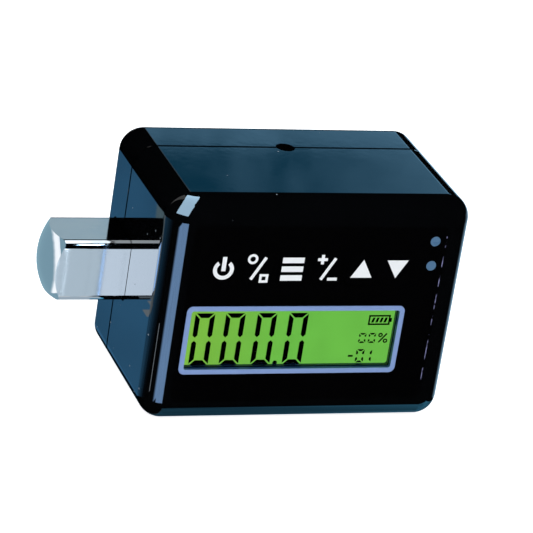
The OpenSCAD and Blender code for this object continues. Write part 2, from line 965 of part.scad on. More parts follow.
// Turned lead-in at the mouth of the socket
module socket_mouth() {
    mouth_radius = socket_square / sqrt(2) - socket_corner_radius / 2;
    along_drive_axis([
        [0, hub_end_x - mouth_chamfer],
        [mouth_radius, hub_end_x - mouth_chamfer],
        [mouth_radius + mouth_chamfer + overrun, hub_end_x + overrun],
        [0, hub_end_x + overrun]
    ]);
}

// Blind hole for the detent ball and spring, with a narrower lip that keeps the ball in
module detent_hole() {
    lip_top_z = -drive_square / 2 + ball_lip_height;
    translate([-ball_from_case, 0, 0]) {
        translate([0, 0, lip_top_z])
            cylinder(r = ball_hole_radius, h = ball_hole_top_z - lip_top_z);
        translate([0, 0, -drive_square / 2 - overrun])
            cylinder(r = ball_lip_radius, h = ball_lip_height + overrun);
    }
}

// Spring loaded ball in the underside of the male square
module detent_ball() {
    color([0.85, 0.86, 0.88])
        translate([-ball_from_case, 0, ball_z])
            sphere(r = ball_radius);
}

// Points of one ring of the spring wire, square to its path
function spring_ring(turn) = [
    for (side = [0:spring_sides - 1])
        let (
            around = 360 * side / spring_sides,
            reach = spring_radius + spring_wire_radius * cos(around),
            height = spring_low_z + (spring_high_z - spring_low_z) * turn / spring_turns
        )
        [reach * cos(360 * turn), reach * sin(360 * turn), height + spring_wire_radius * sin(around)]
];

// Coil spring between the ball and the bottom of its hole
module detent_spring() {
    rings = spring_turns * spring_steps;
    points = [for (ring = [0:rings]) each spring_ring(ring / spring_steps)];
    sides = [
        for (ring = [0:rings - 1], side = [0:spring_sides - 1])
            let (
                here = ring * spring_sides,
                after = here + spring_sides,
                next = (side + 1) % spring_sides
            )
            each [
                [here + side, here + next, after + next],
                [here + side, after + next, after + side]
            ]
    ];
    first_end = [for (side = [1:spring_sides - 2]) [0, side + 1, side]];
    last_end = [
        for (side = [1:spring_sides - 2])
            [rings * spring_sides, rings * spring_sides + side, rings * spring_sides + side + 1]
    ];
    color([0.6, 0.62, 0.65])
        translate([-ball_from_case, 0, 0])
            polyhedron(points = points, faces = concat(sides, first_end, last_end));
}

// A cross recess cut into a screw head
module cross_recess(face_y, head_diameter) {
    reach = head_diameter * head_recess_length_share;
    for (turn = [0, 90])
        rotate([0, turn, 0])
            plate(0, 0, reach, head_recess_width, face_y - head_recess_depth, face_y + overrun);
}

// Four screws that join the shells from the back
module case_screws() {
    seat_y = back_y - counterbore_depth;
    head_y = seat_y + case_screw_head_height;
    color([0.5, 0.5, 0.52])
        at_case_screws()
            difference() {
                union() {
                    bar_y(seat_y - case_screw_length, seat_y, case_screw_diameter / 2);
                    bar_y(seat_y, head_y, case_screw_head / 2);
                }
                cross_recess(head_y, case_screw_head);
            }
}

// Four screws that hold the circuit board
module board_screws() {
    head_y = board_back_y + board_screw_head_height;
    color([0.7, 0.7, 0.72])
        at_board_screws()
            difference() {
                union() {
                    bar_y(board_back_y - board_screw_length, board_back_y, board_screw_diameter / 2);
                    bar_y(board_back_y, head_y, board_screw_head / 2);
                }
                cross_recess(head_y, board_screw_head);
            }
}

front_shell();
rear_shell();
front_panel();
display_frame();
display_window();
lcd_glass();
backlight();
contact_strip();
main_board();
board_chips();
key_switches();
clear_key();
unit_key();
mode_key();
function_key();
up_key();
down_key();
light_pipes();
led_chips();
buzzer();
battery_cell();
battery_pad();
battery_plug();
battery_leads();
charge_jack();
jack_pin();
charge_leads();
flex_connector();
gauge_flex();
strain_gauges();
torque_shaft();
detent_ball();
detent_spring();
case_screws();
board_screws();
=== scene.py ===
import json
import math

import bmesh
import bpy
from mathutils import Matrix, Vector


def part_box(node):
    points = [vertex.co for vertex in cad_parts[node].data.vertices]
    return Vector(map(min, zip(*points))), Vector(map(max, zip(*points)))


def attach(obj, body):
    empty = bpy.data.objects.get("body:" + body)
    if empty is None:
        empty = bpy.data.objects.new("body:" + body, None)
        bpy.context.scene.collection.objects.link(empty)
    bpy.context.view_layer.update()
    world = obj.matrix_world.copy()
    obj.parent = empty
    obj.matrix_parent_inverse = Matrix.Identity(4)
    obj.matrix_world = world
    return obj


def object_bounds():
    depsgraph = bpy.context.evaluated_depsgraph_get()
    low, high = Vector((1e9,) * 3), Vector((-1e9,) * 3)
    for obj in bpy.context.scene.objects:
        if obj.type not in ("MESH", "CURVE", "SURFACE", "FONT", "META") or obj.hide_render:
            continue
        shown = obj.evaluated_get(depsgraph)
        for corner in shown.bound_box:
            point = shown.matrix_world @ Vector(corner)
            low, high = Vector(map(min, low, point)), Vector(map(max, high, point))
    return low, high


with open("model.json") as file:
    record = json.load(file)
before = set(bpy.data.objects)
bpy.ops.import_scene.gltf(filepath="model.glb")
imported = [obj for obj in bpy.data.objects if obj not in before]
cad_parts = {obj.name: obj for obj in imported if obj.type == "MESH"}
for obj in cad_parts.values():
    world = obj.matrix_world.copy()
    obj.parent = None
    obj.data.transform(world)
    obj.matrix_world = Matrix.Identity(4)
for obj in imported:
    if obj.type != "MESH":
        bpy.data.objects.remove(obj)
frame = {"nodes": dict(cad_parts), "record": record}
cad_low, cad_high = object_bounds()
centre = (cad_low + cad_high) / 2
nodes = frame["nodes"]
slot_of = {part["node"]: part["material_slot"] for part in frame["record"]["subparts"]}
MM = 0.001


def place_object(name, data):
    """A new object with this data, in the scene."""
    made = bpy.data.objects.new(name, data)
    bpy.context.scene.collection.objects.link(made)
    return made


# ---------------------------------------------------------------- camera
CAMERA_PLACE = Vector((-191.5006, -549.8902, 258.9042)) * MM
CAMERA_RIGHT = Vector((0.93904165, -0.31007585, 0.14684465))
CAMERA_UP = Vector((0.00004226, 0.42818497, 0.90326297))
CAMERA_BACK = Vector((-0.34329402, -0.84878218, 0.40224825))
camera_data = bpy.data.cameras.new("camera")
camera_data.sensor_width = 36
camera_data.lens = 220.81
camera_data.clip_start = 0.01
camera_data.clip_end = 20
camera = place_object("camera", camera_data)
axes_of_camera = Matrix((CAMERA_RIGHT, CAMERA_UP, CAMERA_BACK)).transposed().to_4x4()
camera.matrix_world = Matrix.Translation(CAMERA_PLACE) @ axes_of_camera
bpy.context.scene.camera = camera
bpy.context.scene.view_settings.view_transform = "Standard"


# ---------------------------------------------------------------- shader nodes
def add(tree, kind, **values):
    """A new node; each value goes to the input of that name, or else to the setting of that name."""
    made = tree.nodes.new(kind)
    for key, value in values.items():
        if key in made.inputs:
            made.inputs[key].default_value = value
        else:
            setattr(made, key, value)
    return made


def calc(tree, operation, *values, clamp=False):
    """The result of a math node; each value is a number or the output of another node."""
    made = add(tree, "ShaderNodeMath", operation=operation, use_clamp=clamp)
    for socket, value in zip(made.inputs, values):
        if isinstance(value, bpy.types.NodeSocket):
            tree.links.new(value, socket)
        else:
            socket.default_value = value
    return made.outputs[0]


def remap(tree, value, from_low, from_high, to_low, to_high):
    """The value carried from one range to another, and held at its ends."""
    made = add(tree, "ShaderNodeMapRange")
    for number, setting in enumerate((from_low, from_high, to_low, to_high), start=1):
        made.inputs[number].default_value = setting
    tree.links.new(value, made.inputs[0])
    return made.outputs[0]


def mix_colors(tree, factor, first, second):
    """A blend of two colours, each given as three numbers or as the output of another node."""
    made = add(tree, "ShaderNodeMix", data_type="RGBA")
    tree.links.new(factor, made.inputs[0])
    for socket, color in ((made.inputs[6], first), (made.inputs[7], second)):
        if isinstance(color, bpy.types.NodeSocket):
            tree.links.new(color, socket)
        else:
            socket.default_value = (*color, 1)
    return made.outputs[2]


def object_place(tree):
    """The place of the point in object space, in metres."""
    return add(tree, "ShaderNodeTexCoord").outputs["Object"]


def object_axes(tree):
    """X, Y and Z in object space."""
    split = add(tree, "ShaderNodeSeparateXYZ")
    tree.links.new(object_place(tree), split.inputs[0])
    return split.outputs


def noise(tree, scale, detail=3.0, roughness=0.5, stretch=(1, 1, 1)):
    """Noise in object space; scale is in features per metre."""
    mapping = add(tree, "ShaderNodeMapping")
    mapping.inputs["Scale"].default_value = stretch
    tree.links.new(object_place(tree), mapping.inputs["Vector"])
    texture = add(tree, "ShaderNodeTexNoise", Scale=scale, Detail=detail, Roughness=roughness)
    tree.links.new(mapping.outputs["Vector"], texture.inputs["Vector"])
    return texture.outputs["Fac"]


def bump(tree, shader, height, distance, after=None):
    """Tilts the surface by this height, on top of the bump that comes before it."""
    made = add(tree, "ShaderNodeBump", Strength=1.0, Distance=distance)
    tree.links.new(height, made.inputs["Height"])
    if after is not None:
        tree.links.new(after, made.inputs["Normal"])
    tree.links.new(made.outputs["Normal"], shader.inputs["Normal"])


def specks(tree, share):
    """Sparse dust specks: 1 inside a speck and 0 outside; the share is that of the cells that have one."""
    cells_in_metre, core, rim = 420, 0.05, 0.09
    cells = add(tree, "ShaderNodeTexVoronoi", Scale=cells_in_metre)
    tree.links.new(object_place(tree), cells.inputs["Vector"])
    size = remap(tree, cells.outputs["Distance"], core, rim, 1, 0)
    pick = add(tree, "ShaderNodeSeparateColor")
    tree.links.new(cells.outputs["Color"], pick.inputs[0])
    return calc(tree, "MULTIPLY", size, calc(tree, "LESS_THAN", pick.outputs[0], share), clamp=True)


def within(tree, **ranges):
    """1 where the point lies between these limits, in millimetres, along each named axis, and 0 elsewhere."""
    axes = object_axes(tree)
    result = None
    for axis, (low, high) in ranges.items():
        middle, reach = (low + high) / 2 * MM, (high - low) / 2 * MM
        test = calc(tree, "COMPARE", axes["xyz".index(axis)], middle, reach)
        result = test if result is None else calc(tree, "MULTIPLY", result, test)
    return result


# ---------------------------------------------------------------- finishes
def new_material(name):
    """A material, its node tree and its main shader."""
    material = bpy.data.materials.new(name)
    material.use_nodes = True
    tree = material.node_tree
    return material, tree, tree.nodes["Principled BSDF"]


def gloss_black(name, color, roughness, peel, dust_share):
    """Moulded gloss plastic: faint smudges in the gloss, a fine mould waviness and a few dust specks."""
    dust_color, dust_roughness = (0.30, 0.36, 0.42), 0.6
    material, tree, shader = new_material(name)
    smudge = noise(tree, scale=90, detail=4, roughness=0.6)
    clean = remap(tree, smudge, 0.35, 0.7, *roughness)
    dust = specks(tree, dust_share)
    dusty = remap(tree, dust, 0, 1, 0, dust_roughness)
    tree.links.new(calc(tree, "MAXIMUM", clean, dusty), shader.inputs["Roughness"])
    dark, light = (tuple(c * share for c in color) for share in (0.7, 1.3))
    tone = mix_colors(tree, noise(tree, scale=60), dark, light)
    tree.links.new(mix_colors(tree, dust, tone, dust_color), shader.inputs["Base Color"])
    shader.inputs["Specular IOR Level"].default_value = 0.4
    bump(tree, shader, noise(tree, scale=700, detail=2), peel)
    return material


def plain_moulded(name, color, roughness, grain_scale=900, grain=2e-5, spread=0.15, metallic=0.0):
    """A simple finish with a fine grain, a slight change of tone and a varied gloss."""
    material, tree, shader = new_material(name)
    dark = tuple(max(0, c * (1 - spread)) for c in color)
    light = tuple(min(1, c * (1 + spread)) for c in color)
    tone = noise(tree, grain_scale / 6, detail=3)
    tree.links.new(mix_colors(tree, tone, dark, light), shader.inputs["Base Color"])
    smooth, rough = max(0.03, roughness - 0.06), min(1, roughness + 0.08)
    gloss = noise(tree, grain_scale / 3, detail=4)
    tree.links.new(remap(tree, gloss, 0.3, 0.7, smooth, rough), shader.inputs["Roughness"])
    shader.inputs["Metallic"].default_value = metallic
    bump(tree, shader, noise(tree, grain_scale, detail=2), grain)
    return material


def steel(name, color, roughness, scratch_stretch=(12, 1, 1)):
    """Plated or ground steel: fine directional scratches, smudges and a slightly darker tone in places."""
    worn_tone, scratch_depth = 0.952, 1.2e-6
    material, tree, shader = new_material(name)
    shader.inputs["Metallic"].default_value = 1.0
    smudge = noise(tree, scale=160, detail=4, roughness=0.6)
    tree.links.new(remap(tree, smudge, 0.3, 0.75, *roughness), shader.inputs["Roughness"])
    dark = tuple(c * worn_tone for c in color)
    tree.links.new(mix_colors(tree, noise(tree, scale=120), dark, color), shader.inputs["Base Color"])
    bump(tree, shader, noise(tree, 1500, 4, 0.7, scratch_stretch), scratch_depth)
    return material


def clear_plastic(name, tint):
    """Clear moulded plastic, with a gloss that varies slightly."""
    material, tree, shader = new_material(name)
    shader.inputs["Base Color"].default_value = (*tint, 1)
    shader.inputs["Transmission Weight"].default_value = 1.0
    shader.inputs["IOR"].default_value = 1.49
    tree.links.new(remap(tree, noise(tree, 120, 4), 0.4, 0.8, 0, 0.03), shader.inputs["Roughness"])
    return material


def display_green(name, left_green, right_green):
    """The lit cell of the display: a glow whose tone changes from its left edge to its middle."""
    material, tree, shader = new_material(name)
    shader.inputs["Base Color"].default_value = (0.05, 0.14, 0.01, 1)
    shader.inputs["Roughness"].default_value = 0.4
    low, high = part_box("display_window")
    across = remap(tree, object_axes(tree)[0], low.x, (low.x + high.x) / 2, 0, 1)
    tree.links.new(mix_colors(tree, across, left_green, right_green), shader.inputs["Emission Color"])
    uneven = remap(tree, noise(tree, scale=150, detail=2), 0.3, 0.7, 0.95, 1.05)
    tree.links.new(uneven, shader.inputs["Emission Strength"])
    bump(tree, shader, noise(tree, scale=3000, detail=2), 2e-6)
    return material


def overlay(material, mask, color):
    """Puts another base colour where the mask is 1."""
    tree = material.node_tree
    shader = tree.nodes["Principled BSDF"]
    under = shader.inputs["Base Color"].links[0].from_socket
    tree.links.new(mix_colors(tree, mask, under, color), shader.inputs["Base Color"])


def groove(material, half_width, depth):
    """A shallow groove along the parting line Y = 0, in millimetres."""
    tree = material.node_tree
    shader = tree.nodes["Principled BSDF"]
    off = calc(tree, "ABSOLUTE", object_axes(tree)[1])
    height = remap(tree, off, 0, half_width * MM, 0, 1)
    bump(tree, shader, height, depth * MM, after=shader.inputs["Normal"].links[0].from_socket)


# One material for each slot of the record
materials = {
    "shell": gloss_black("shell_gloss_black", (0.0012, 0.0014, 0.0018), (0.02, 0.06), peel=1.5e-6, dust_share=0.12),
    "panel": gloss_black("panel_deep_black", (0.0008, 0.0008, 0.001), (0.02, 0.05), peel=1e-6, dust_share=0.02),
    "key_plastic": gloss_black("key_black", (0.0008, 0.0008, 0.001), (0.03, 0.07), peel=1e-6, dust_share=0.01),
    "frame": plain_moulded("frame_pale_blue", (0.22, 0.33, 0.62), 0.35, grain_scale=1500, grain=1e-5, spread=0.06),
    "window": clear_plastic("window_clear", (0.96, 0.98, 0.97)),
    "light_box": plain_moulded("light_box_white", (0.8, 0.82, 0.78), 0.5),
    "rubber_strip": plain_moulded("contact_rubber", (0.45, 0.2, 0.17), 0.6),
    "circuit_board": plain_moulded("board_green", (0.02, 0.16, 0.06), 0.35),
    "chip_plastic": plain_moulded("chip_black", (0.02, 0.02, 0.022), 0.5),
    "switch_metal": steel("switch_steel", (0.65, 0.66, 0.68), (0.25, 0.4)),
    "light_pipe": plain_moulded("light_pipe_blue", (0.075, 0.17, 0.30), 0.3, grain_scale=1200, grain=1e-5, spread=0.2),
    "led": plain_moulded("led_body", (0.8, 0.75, 0.45), 0.4),
    "cell_foil": plain_moulded("cell_foil", (0.6, 0.62, 0.66), 0.35, 600, grain=3e-5, spread=0.08, metallic=0.6),
    "foam": plain_moulded("foam_grey", (0.08, 0.08, 0.09), 0.9, grain_scale=2500, grain=1e-4),
    "connector_plastic": plain_moulded("connector_ivory", (0.8, 0.76, 0.62), 0.45),
    "lead_insulation": plain_moulded("lead_red", (0.5, 0.02, 0.015), 0.45),
    "contact_metal": steel("contact_nickel", (0.72, 0.69, 0.58), (0.2, 0.35)),
    "flex_tape": plain_moulded("flex_amber", (0.55, 0.25, 0.04), 0.35),
    "gauge_foil": plain_moulded("gauge_foil", (0.7, 0.42, 0.15), 0.35, grain=1e-5, spread=0.1, metallic=0.5),
    "drive_steel": steel("drive_chrome", (0.60, 0.63, 0.66), (0.03, 0.10)),
    "ball_steel": steel("ball_steel", (0.66, 0.67, 0.69), (0.05, 0.12), scratch_stretch=(1, 1, 1)),
    "spring_steel": steel("spring_steel", (0.45, 0.46, 0.48), (0.25, 0.35)),
    "screw_steel": steel("screw_black", (0.07, 0.07, 0.075), (0.3, 0.45), scratch_stretch=(1, 1, 1)),
    "legend_print": plain_moulded("legend_white", (0.86, 0.88, 0.90), 0.5, grain_scale=2500, grain=4e-6, spread=0.04),
    "lcd_segment": plain_moulded("lcd_segment_dark", (0.001, 0.003, 0.001), 0.6, 2500, grain=2e-6, spread=0.05),
    "lcd": display_green("lcd_green", (0.225, 0.515, 0.06), (0.155, 0.52, 0.07)),
}
materials["lcd_segment"].node_tree.nodes["Principled BSDF"].inputs["Specular IOR Level"].default_value = 0.0

# The parting line with painted shade in its seam, and painted shade on the walls round the display: both are painted
# dark into the base colour
BLACK = (0.0, 0.0, 0.0)
RECESS_SHADE_BLUE = (0.006, 0.030, 0.13)
shell, rim, band = (materials[slot] for slot in ("shell", "panel", "frame"))
# Painted shade: the seam along the parting line is painted black as the shadow of the gap; the groove below is a real
# bump
overlay(shell, within(shell.node_tree, y=(-0.2, 0.2)), BLACK)
groove(shell, half_width=0.32, depth=0.18)
# Painted shade: the inner walls of the display recess, in the shell and in the frame, are painted dark blue where the
# recess lies in shade
overlay(shell, within(shell.node_tree, x=(6.4, 49.5), y=(-25.5, -23.7), z=(-11.4, 1.7)), RECESS_SHADE_BLUE)
overlay(band, within(band.node_tree, y=(-26.19, -20)), RECESS_SHADE_BLUE)

# A painted highlight: the lit rim at the right border of the panel is painted as a light line in the panel's base
# colour, broken into dashes
painted_rim_highlight = within(rim.node_tree, x=(56.08, 56.26), z=(-15.3, 17.0))
dashes = remap(rim.node_tree, noise(rim.node_tree, scale=700, detail=2), 0.45, 0.6, 0, 1)
overlay(rim, calc(rim.node_tree, "MULTIPLY", painted_rim_highlight, dashes, clamp=True), (0.22, 0.22, 0.40))

for name, piece in nodes.items():
    piece.data.materials.clear()
    piece.data.materials.append(materials[slot_of[name]])


# ---------------------------------------------------------------- printed marks and display figures
PRINT_THICKNESS = 0.02


def outline_plates(name, outlines, face):
    """Thin plates with these outlines, (X, Z) in millimetres, that lie on a face at this Y."""
    mesh = bpy.data.meshes.new(name)
    build = bmesh.new()
    for outline in outlines:
        points = [build.verts.new((x * MM, face * MM, z * MM)) for x, z in outline]
        raised = bmesh.ops.extrude_face_region(build, geom=[build.faces.new(points)])
        moved = [v for v in raised["geom"] if isinstance(v, bmesh.types.BMVert)]
        bmesh.ops.translate(build, verts=moved, vec=(0, -PRINT_THICKNESS * MM, 0))
    bmesh.ops.recalc_face_normals(build, faces=build.faces)
    build.to_mesh(mesh)
    build.free()
    return place_object(name, mesh)


def bar(start, end, width):
    """A straight stroke between two points."""
    along = (Vector(end) - Vector(start)).normalized()
    side = Vector((-along.y, along.x)) * width / 2
    return [tuple(Vector(p) + side * s) for p, s in ((start, 1), (start, -1), (end, -1), (end, 1))]


def box_at(low_x, low_z, high_x, high_z):
    """The corners of a rectangle."""
    return [(low_x, low_z), (high_x, low_z), (high_x, high_z), (low_x, high_z)]


def hollow_box(low_x, low_z, high_x, high_z, width):
    """The four strokes of a rectangle."""
    return [box_at(low_x, low_z, high_x, low_z + width), box_at(low_x, high_z - width, high_x, high_z),
            box_at(low_x, low_z + width, low_x + width, high_z - width),
            box_at(high_x - width, low_z + width, high_x, high_z - width)]


def circle(middle, radius, angles):
    """Points of a circle; angles, in degrees, count from +X towards +Z."""
    turns = [math.radians(angle) for angle in angles]
    return [(middle[0] + radius * math.cos(turn), middle[1] + radius * math.sin(turn)) for turn in turns]


def ring(middle, radius, width, start=0.0, end=360.0, steps=40):
    """The strokes of an arc."""
    cuts = [start + (end - start) * step / steps for step in range(steps + 1)]
    outer, inner = circle(middle, radius, cuts), circle(middle, radius - width, cuts)
    return [[outer[i], outer[i + 1], inner[i + 1], inner[i]] for i in range(steps)]


def power_sign():
    """An open ring with an upright bar in its gap."""
    middle, radius, stroke, bar_half = (11.75, 10.0), 2.07, 0.78, 0.42
    return [*ring(middle, radius, stroke, start=128, end=412),
            box_at(middle[0] - bar_half, 9.7, middle[0] + bar_half, 12.64)]


def percent_sign():
    """A slanted stroke between a small ring and a small hollow box."""
    return [bar((17.45, 7.95), (20.0, 12.55), 0.62), *ring((17.35, 12.2), 1.04, 0.5),
            *hollow_box(19.15, 7.28, 20.94, 9.07, 0.5)]


def three_bars():
    """Three level bars, one above the other."""
    low_ends, thickness = (7.69, 9.53, 11.37), 1.15
    return [box_at(23.38, z, 27.74, z + thickness) for z in low_ends]


def plus_over_minus():
    """A plus and a minus with a slanted stroke between them."""
    slant = bar((31.6, 7.9), (34.1, 12.4), 0.62)
    plus = [box_at(30.45, 11.8, 32.45, 12.42), box_at(31.14, 11.11, 31.76, 11.8),
            box_at(31.14, 12.42, 31.76, 13.11)]
    minus = box_at(32.94, 7.7, 34.94, 8.32)
    return [slant, *plus, minus]


KEY_FACE = -26.2
marks = {
    "clear_key": power_sign(),
    "unit_key": percent_sign(),
    "mode_key": three_bars(),
    "function_key": plus_over_minus(),
    "up_key": [[(37.6, 8.3), (42.0, 8.3), (39.9, 12.07)]],
    "down_key": [[(44.73, 11.94), (49.09, 11.94), (46.9, 8.21)]],
}
for name, outlines in marks.items():
    piece = outline_plates("mark_" + name, outlines, KEY_FACE)
    piece.data.materials.append(materials["legend_print"])
    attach(piece, name)


def figure(left, top, width, height, stroke, gap, lines="abcdef"):
    """The segments of one display figure: a top, b and c right, d bottom, e and f left."""
    right, bottom, middle = left + width, top - height, top - height / 2
    cut, tip, half = gap / math.sqrt(2), gap * 1.1, stroke / 2

    def level(end, up):
        """The segment along the upper end (up is 1) or the lower end (up is -1)."""
        inner = end - up * stroke
        return [(left + cut, end), (right - cut, end), (right - stroke - cut, inner), (left + stroke + cut, inner)]

    def upright(edge, inward, end, up):
        """The segment along one side, from the upper or the lower end to the middle."""
        inner, shoulder = edge + inward * stroke, middle + up * (tip + half)
        return [(edge, end - up * cut), (inner, end - up * (stroke + cut)), (inner, shoulder),
                (edge + inward * half, middle + up * tip), (edge, shoulder)]

    shapes = {
        "a": level(top, 1), "d": level(bottom, -1),
        "b": upright(right, -1, top, 1), "c": upright(right, -1, bottom, -1),
        "f": upright(left, 1, top, 1), "e": upright(left, 1, bottom, -1),
    }
    return [shapes[line] for line in lines]


def main_figures():
    """Four large figures, with a point before the last."""
    shown = []
    for left in (8.4, 14.55, 20.95, 27.4):
        shown += figure(left, top=-0.15, width=3.95, height=10.95, stroke=0.98, gap=0.3)
    return shown + [circle((25.96, -10.81), 0.48, [side * 360 / 16 for side in range(16)])]


def battery_sign():
    """The outline of a battery, its tip and four slanted bars."""
    slanted = [[(x, -2.3), (x + 0.5, -2.3), (x + 0.8, -1.25), (x + 0.3, -1.25)] for x in (44.5, 45.35, 46.2, 47.05)]
    return hollow_box(43.9, -2.85, 48.4, -0.7, 0.34) + [box_at(48.4, -2.2, 48.75, -1.35)] + slanted


def percentage():
    """Two small figures and a percent sign."""
    shown = []
    for left in (42.5, 44.5):
        shown += figure(left, top=-4.57, width=1.5, height=2.15, stroke=0.36, gap=0.2)
    for middle in ((46.95, -5.02), (48.1, -6.27)):
        shown += ring(middle, 0.48, 0.28, steps=12)
    return shown + [bar((46.75, -6.6), (48.25, -4.7), 0.32)]


def counter():
    """A dash and two small figures."""
    dash = box_at(40.9, -9.7, 41.9, -9.3)
    size = {"top": -8.06, "height": 2.88, "stroke": 0.42, "gap": 0.24}
    return [dash] + figure(42.5, width=1.7, **size) + figure(44.0, width=1.8, lines="bc", **size)


LCD_FACE = -23.8
shown = main_figures() + battery_sign() + percentage() + counter()
piece = outline_plates("display_figures", shown, LCD_FACE)
piece.data.materials.append(materials["lcd_segment"])
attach(piece, "housing")


# ---------------------------------------------------------------- white surroundings, lamps and floor
def lamp(name, place, size, power, color):
    """A round area lamp, placed in metres, that points at the middle of the object."""
    data = bpy.data.lights.new(name, "AREA")
    data.shape = "DISK"
    data.size = size
    data.energy = power
    data.color = color
    piece = place_object(name, data)
    piece.location = place
    piece.rotation_mode = "QUATERNION"
    piece.rotation_quaternion = (centre - Vector(place)).to_track_quat("-Z", "Y")
    piece.visible_camera = False
    return piece


def mix_shaders(tree, factor, first, second):
    """A blend of two shaders; all three are outputs of nodes."""
    made = add(tree, "ShaderNodeMixShader")
    for socket, value in zip(made.inputs, (factor, first, second)):
        tree.links.new(value, socket)
    return made.outputs[0]


world = bpy.data.worlds.new("studio")
bpy.context.scene.world = world
world.use_nodes = True
tree = world.node_tree
tree.nodes.clear()
ray = add(tree, "ShaderNodeLightPath").outputs
seen = calc(tree, "ADD", ray["Is Camera Ray"], ray["Is Glossy Ray"])
seen = calc(tree, "ADD", seen, ray["Is Transmission Ray"], clamp=True)
white = add(tree, "ShaderNodeBackground", Color=(1, 1, 1, 1), Strength=1.0)
soft = add(tree, "ShaderNodeBackground", Color=(0.92, 0.96, 1, 1), Strength=0.55)
out = add(tree, "ShaderNodeOutputWorld")
tree.links.new(mix_shaders(tree, seen, soft.outputs[0], white.outputs[0]), out.inputs[0])

key = lamp("key_lamp", (-0.5, -0.9, 1.1), size=0.7, power=9, color=(1.0, 0.99, 0.97))
key.visible_glossy = False
fill = lamp("fill_lamp", (0.9, -0.6, 0.6), size=0.8, power=4, color=(0.95, 0.98, 1.0))
fill.visible_glossy = False


def polygon(name, corners, material):
    """A flat face with these corners, in metres."""
    mesh = bpy.data.meshes.new(name)
    mesh.from_pydata([tuple(c) for c in corners], [], [tuple(range(len(corners)))])
    mesh.materials.append(material)
    return place_object(name, mesh)


# The floor keeps the object's shadow; the camera sees it lit up to the white of the world
FLOOR_HALF = 3
floor_material, tree, shader = new_material("floor_white")
shader.inputs["Base Color"].default_value = (0.86, 0.86, 0.86, 1)
shader.inputs["Roughness"].default_value = 0.9
shader.inputs["Specular IOR Level"].default_value = 0.0
ray = add(tree, "ShaderNodeLightPath").outputs
white = add(tree, "ShaderNodeEmission", Color=(1, 1, 1, 1), Strength=0.9)
both = add(tree, "ShaderNodeAddShader")
tree.links.new(shader.outputs[0], both.inputs[0])
tree.links.new(white.outputs[0], both.inputs[1])
lit = mix_shaders(tree, ray["Is Camera Ray"], shader.outputs[0], both.outputs[0])
tree.links.new(lit, tree.nodes["Material Output"].inputs[0])
around = ((-FLOOR_HALF, -FLOOR_HALF), (FLOOR_HALF, -FLOOR_HALF), (FLOOR_HALF, FLOOR_HALF), (-FLOOR_HALF, FLOOR_HALF))
floor = polygon("floor", [(x, y, cad_low.z) for x, y in around], floor_material)
floor.visible_glossy = False


# ---------------------------------------------------------------- studio cards that the gloss mirrors
def look_only(piece):
    """A studio card that is seen in gloss and chrome, but by no other ray."""
    piece.visible_camera = False
    piece.visible_diffuse = False
    piece.visible_transmission = False
    piece.visible_shadow = False
    piece.visible_volume_scatter = False
    return piece


def light_material(name, strength=1.0):
    """A material with nothing but a glow."""
    material = bpy.data.materials.new(name)
    material.use_nodes = True
    tree = material.node_tree
    tree.nodes.clear()
    light = add(tree, "ShaderNodeEmission", Strength=strength)
    out = add(tree, "ShaderNodeOutputMaterial")
    tree.links.new(light.outputs[0], out.inputs[0])
    return material, tree, light


def glowing(name, color, strength=1.0):
    """A glow of one colour."""
    material, tree, light = light_material(name, strength)
    light.inputs["Color"].default_value = (*color, 1)
    return material


def toned(name, scale=None):
    """A glow that takes its colour from the points of its card; a scale makes it uneven by a soft noise."""
    material, tree, light = light_material(name)
    tone = add(tree, "ShaderNodeAttribute", attribute_name="tone")
    tree.links.new(tone.outputs["Color"], light.inputs["Color"])
    if scale is not None:
        uneven = remap(tree, noise(tree, scale), 0.3, 0.7, 0.6, 1.4)
        tree.links.new(uneven, light.inputs["Strength"])
    return material


def uneven_sky(name):
    """The glow that the top mirrors: a dark blue that grows lighter to the right and to the back, in soft clouds."""
    dark, light_blue = (0.02, 0.21, 0.40), (0.66, 1.45, 2.2)
    material, tree, light = light_material(name)
    axes = object_axes(tree)
    right = remap(tree, axes[0], 2.10, 2.36, 0, 0.30)
    height = calc(tree, "MULTIPLY_ADD", axes[0], 0.18, axes[2])
    back = remap(tree, height, 2.580, 2.592, 0.34, 0.0)
    clouds = remap(tree, noise(tree, scale=7, detail=4, roughness=0.6), 0.45, 0.7, 0, 0.26)
    share = calc(tree, "ADD", calc(tree, "ADD", right, back), clouds, clamp=True)
    tree.links.new(mix_colors(tree, share, dark, light_blue), light.inputs["Color"])
    return material


def shades(color, *shares):
    """This colour at several strengths."""
    return [tuple(c * share for c in color) for share in shares]


def sheet_of_quads(name, rows, material, tones=None):
    """A bent card from rows of points in millimetres, each with as many points.

    Tones are one colour a column, or a list of such lists, one a row."""
    mesh = bpy.data.meshes.new(name)
    count = len(rows[0])
    points = [Vector(point) * MM for row in rows for point in row]
    faces = [(r * count + c, r * count + c + 1, (r + 1) * count + c + 1, (r + 1) * count + c)
             for r in range(len(rows) - 1) for c in range(count - 1)]
    mesh.from_pydata(points, [], faces)
    mesh.materials.append(material)
    if tones is not None:
        made = mesh.color_attributes.new("tone", "FLOAT_COLOR", "POINT")
        for place in range(len(points)):
            row = tones[place // count] if isinstance(tones[0], list) else tones
            made.data[place].color = (*row[place % count], 1)
    return look_only(place_object(name, mesh))


def plate(name, x, y, z, color=BLACK, strength=1.0):
    """A flat card between limits in millimetres; the axis that it stands across has one number."""
    spans = [span if isinstance(span, tuple) else (span, span) for span in (x, y, z)]
    first, second = (axis for axis in range(3) if spans[axis][0] != spans[axis][1])
    corners = []
    for a, b in ((0, 0), (1, 0), (1, 1), (0, 1)):
        corner = Vector([low for low, _ in spans])
        corner[first], corner[second] = spans[first][a], spans[second][b]
        corners.append(corner * MM)
    return look_only(polygon(name, corners, glowing(name, color, strength)))


